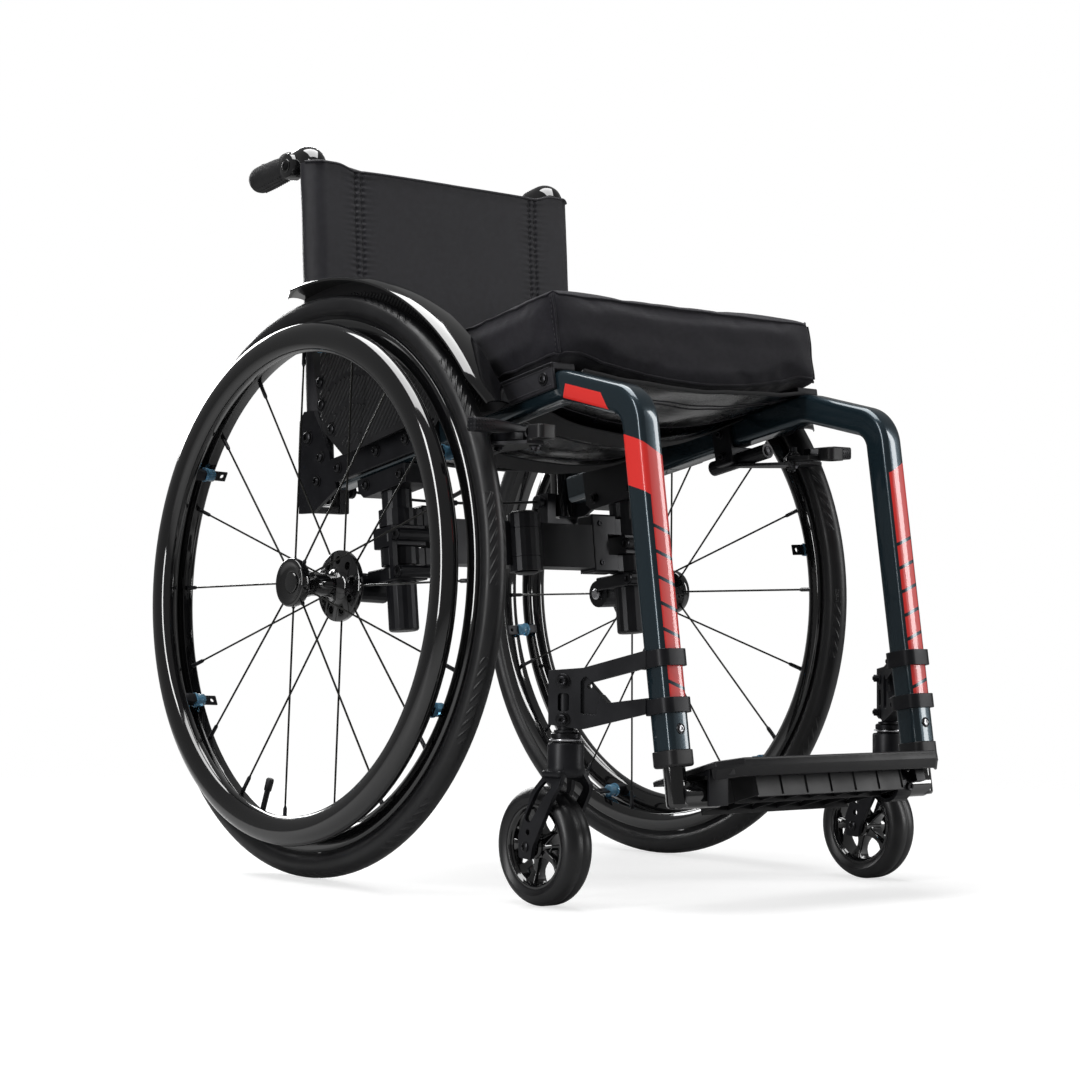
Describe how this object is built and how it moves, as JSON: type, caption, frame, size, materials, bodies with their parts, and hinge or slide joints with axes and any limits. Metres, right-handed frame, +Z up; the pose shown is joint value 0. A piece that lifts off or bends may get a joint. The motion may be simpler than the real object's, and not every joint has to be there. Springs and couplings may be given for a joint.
{
  "type": "folding manual wheelchair",
  "caption": "Folding active wheelchair with cambered spoked drive wheels, casters on short forks, finger brakes, padded seat cushion, sling back and flip-up footplate.",
  "frame": {"origin": "on the floor under the middle of the bounding box", "axes": "+Z up, the chair faces -Y, the seated person's left is +X"},
  "size_m": [0.5618, 0.797, 0.7674],
  "materials": {
    "frame_paint": "glossy dark petrol blue metallic paint",
    "black_anodised": "satin black anodised",
    "black_gloss": "glossy black",
    "black_plastic": "fine matte black",
    "tyre_rubber": "matte black rubber",
    "grip_rubber": "soft matte black rubber",
    "upholstery": "charcoal woven fabric",
    "steel": "plain machined steel"
  },
  "bodies": {
    "left_frame": {"left_side_frame": "frame_paint", "left_leg_cap": "black_plastic", "left_leg_extension": "black_anodised", "left_axle_bracket": "black_anodised", "left_axle_post": "black_anodised", "left_axle_clamp": "black_anodised", "left_caster_bracket": "black_anodised", "left_brake_clamp": "black_anodised", "left_back_bracket": "black_anodised", "left_side_guard": "black_gloss", "footplate_bracket": "black_anodised", "seat_sling": "upholstery", "release_cable": "black_plastic"},
    "right_frame": {"right_side_frame": "frame_paint", "right_leg_cap": "black_plastic", "right_leg_extension": "black_anodised", "right_axle_bracket": "black_anodised", "right_axle_post": "black_anodised", "right_axle_clamp": "black_anodised", "right_caster_bracket": "black_anodised", "right_brake_clamp": "black_anodised", "right_back_bracket": "black_anodised", "right_side_guard": "black_gloss"},
    "left_arm": {"left_fold_arm": "black_anodised", "fold_pin": "steel"},
    "right_arm": {"right_fold_arm": "black_anodised"},
    "footplate": {"footplate": "black_plastic"},
    "cushion": {"cushion": "upholstery"},
    "left_back": {"left_back_post": "black_anodised", "back_upholstery": "upholstery"},
    "right_back": {"right_back_post": "black_anodised"},
    "left_axle": {"left_axle": "steel"},
    "left_button": {"left_axle_button": "black_gloss"},
    "left_wheel": {"left_tyre": "tyre_rubber", "left_rim": "black_gloss", "left_handrim": "black_gloss", "left_hub_spokes": "black_anodised"},
    "left_fork": {"left_caster_fork": "black_anodised", "left_caster_axle": "steel"},
    "left_caster": {"left_caster_wheel": "black_gloss", "left_caster_tyre": "tyre_rubber"},
    "left_shoe": {"left_brake_shoe": "black_anodised"},
    "left_lever": {"left_brake_lever": "black_plastic"},
    "left_handle": {"left_push_handle": "grip_rubber"},
    "left_pin": {"left_release_pin": "black_anodised"},
    "right_axle": {"right_axle": "steel"},
    "right_button": {"right_axle_button": "black_gloss"},
    "right_wheel": {"right_tyre": "tyre_rubber", "right_rim": "black_gloss", "right_handrim": "black_gloss", "right_hub_spokes": "black_anodised"},
    "right_fork": {"right_caster_fork": "black_anodised", "right_caster_axle": "steel"},
    "right_caster": {"right_caster_wheel": "black_gloss", "right_caster_tyre": "tyre_rubber"},
    "right_shoe": {"right_brake_shoe": "black_anodised"},
    "right_lever": {"right_brake_lever": "black_plastic"},
    "right_handle": {"right_push_handle": "grip_rubber"},
    "right_pin": {"right_release_pin": "black_anodised"}
  },
  "joints": [
    {"name": "left_fold", "type": "hinge", "parent": "left_frame", "child": "left_arm", "pos_m": [0.1555, 0.0671, 0.34], "axis": [0, -0.1063, -0.9943], "range_deg": [0, 70], "deforming": ["seat_sling", "back_upholstery", "release_cable"]},
    {"name": "centre_fold", "type": "hinge", "parent": "left_arm", "child": "right_arm", "pos_m": [0, 0.05368, 0.34143], "axis": [0, -0.1063, -0.9943], "range_deg": [-140, 0]},
    {"name": "right_fold", "type": "hinge", "parent": "right_arm", "child": "right_frame", "pos_m": [-0.1555, 0.0671, 0.34], "axis": [0, -0.1063, -0.9943], "range_deg": [0, 70]},
    {"name": "footplate_flip", "type": "hinge", "parent": "left_frame", "child": "footplate", "pos_m": [0.136, -0.3557, 0.1235], "axis": [0, 0.9659, -0.2588], "range_deg": [0, 78]},
    {"name": "cushion_lift", "type": "slide", "parent": "left_frame", "child": "cushion", "axis": [0.093, 0, 0.9957], "range_m": [0, 0.49]},
    {"name": "left_wheel_release", "type": "slide", "parent": "left_frame", "child": "left_axle", "axis": [0.9993, 0, 0.0384], "range_m": [0, 0.1]},
    {"name": "left_axle_button", "type": "slide", "parent": "left_axle", "child": "left_button", "axis": [-0.9993, 0, -0.0384], "range_m": [0, 0.0035], "stiffness_N_per_m": 600, "springref_m": -0.001},
    {"name": "left_wheel_spin", "type": "hinge", "parent": "left_axle", "child": "left_wheel", "pos_m": [0.229, 0.1043, 0.29479], "axis": [0.9993, 0, 0.0384], "continuous": true},
    {"name": "left_caster_swivel", "type": "hinge", "parent": "left_frame", "child": "left_fork", "pos_m": [0.2147, -0.2659, 0.12], "axis": [0, 0, 1], "continuous": true},
    {"name": "left_caster_spin", "type": "hinge", "parent": "left_fork", "child": "left_caster", "pos_m": [0.2147, -0.2372, 0.0537], "axis": [1, 0, 0], "continuous": true},
    {"name": "left_brake_lever", "type": "hinge", "parent": "left_frame", "child": "left_lever", "pos_m": [0.174, -0.1717, 0.4258], "axis": [0, 0, 1], "range_deg": [0, 24]},
    {"name": "left_brake_shoe", "type": "hinge", "parent": "left_frame", "child": "left_shoe", "pos_m": [0.198, -0.1457, 0.4258], "axis": [0, 0, 1], "range_deg": [0, 11]},
    {"name": "left_back_fold", "type": "hinge", "parent": "left_frame", "child": "left_back", "pos_m": [0.166, 0.1921, 0.452], "axis": [1, 0, 0], "range_deg": [0, 75], "deforming": ["cushion"]},
    {"name": "left_handle_fold", "type": "hinge", "parent": "left_back", "child": "left_handle", "pos_m": [0.166, 0.2373, 0.748], "axis": [-1, 0, 0], "range_deg": [0, 40]},
    {"name": "left_pin_pull", "type": "slide", "parent": "left_frame", "child": "left_pin", "axis": [-1, 0, 0], "range_m": [0, 0.005], "stiffness_N_per_m": 400, "springref_m": -0.001},
    {"name": "right_wheel_release", "type": "slide", "parent": "right_frame", "child": "right_axle", "axis": [-0.9993, 0, 0.0384], "range_m": [0, 0.1]},
    {"name": "right_axle_button", "type": "slide", "parent": "right_axle", "child": "right_button", "axis": [0.9993, 0, -0.0384], "range_m": [0, 0.0035], "stiffness_N_per_m": 600, "springref_m": -0.001},
    {"name": "right_wheel_spin", "type": "hinge", "parent": "right_axle", "child": "right_wheel", "pos_m": [-0.229, 0.1043, 0.29479], "axis": [-0.9993, 0, 0.0384], "continuous": true},
    {"name": "right_caster_swivel", "type": "hinge", "parent": "right_frame", "child": "right_fork", "pos_m": [-0.2147, -0.2659, 0.12], "axis": [0, 0, 1], "continuous": true},
    {"name": "right_caster_spin", "type": "hinge", "parent": "right_fork", "child": "right_caster", "pos_m": [-0.2147, -0.2372, 0.0537], "axis": [1, 0, 0], "continuous": true},
    {"name": "right_brake_lever", "type": "hinge", "parent": "right_frame", "child": "right_lever", "pos_m": [-0.174, -0.1717, 0.4258], "axis": [0, 0, -1], "range_deg": [0, 24]},
    {"name": "right_brake_shoe", "type": "hinge", "parent": "right_frame", "child": "right_shoe", "pos_m": [-0.198, -0.1457, 0.4258], "axis": [0, 0, -1], "range_deg": [0, 11]},
    {"name": "right_back_fold", "type": "hinge", "parent": "right_frame", "child": "right_back", "pos_m": [-0.166, 0.1921, 0.452], "axis": [1, 0, 0], "range_deg": [0, 75]},
    {"name": "right_handle_fold", "type": "hinge", "parent": "right_back", "child": "right_handle", "pos_m": [-0.166, 0.2373, 0.748], "axis": [-1, 0, 0], "range_deg": [0, 40]},
    {"name": "right_pin_pull", "type": "slide", "parent": "right_frame", "child": "right_pin", "axis": [1, 0, 0], "range_m": [0, 0.005], "stiffness_N_per_m": 400, "springref_m": -0.001}
  ],
  "couplings": [
    {"joint": "centre_fold", "follows": "left_fold", "ratio": -2},
    {"joint": "right_fold", "follows": "left_fold", "ratio": 1},
    {"joint": "footplate_flip", "follows": "left_fold", "ratio": 1.1143},
    {"joint": "cushion_lift", "follows": "left_fold", "m_per_rad": 0.40107},
    {"joint": "right_back_fold", "follows": "left_back_fold", "ratio": 1},
    {"joint": "left_brake_shoe", "follows": "left_brake_lever", "ratio": 0.45833},
    {"joint": "right_brake_shoe", "follows": "right_brake_lever", "ratio": 0.45833}
  ]
}
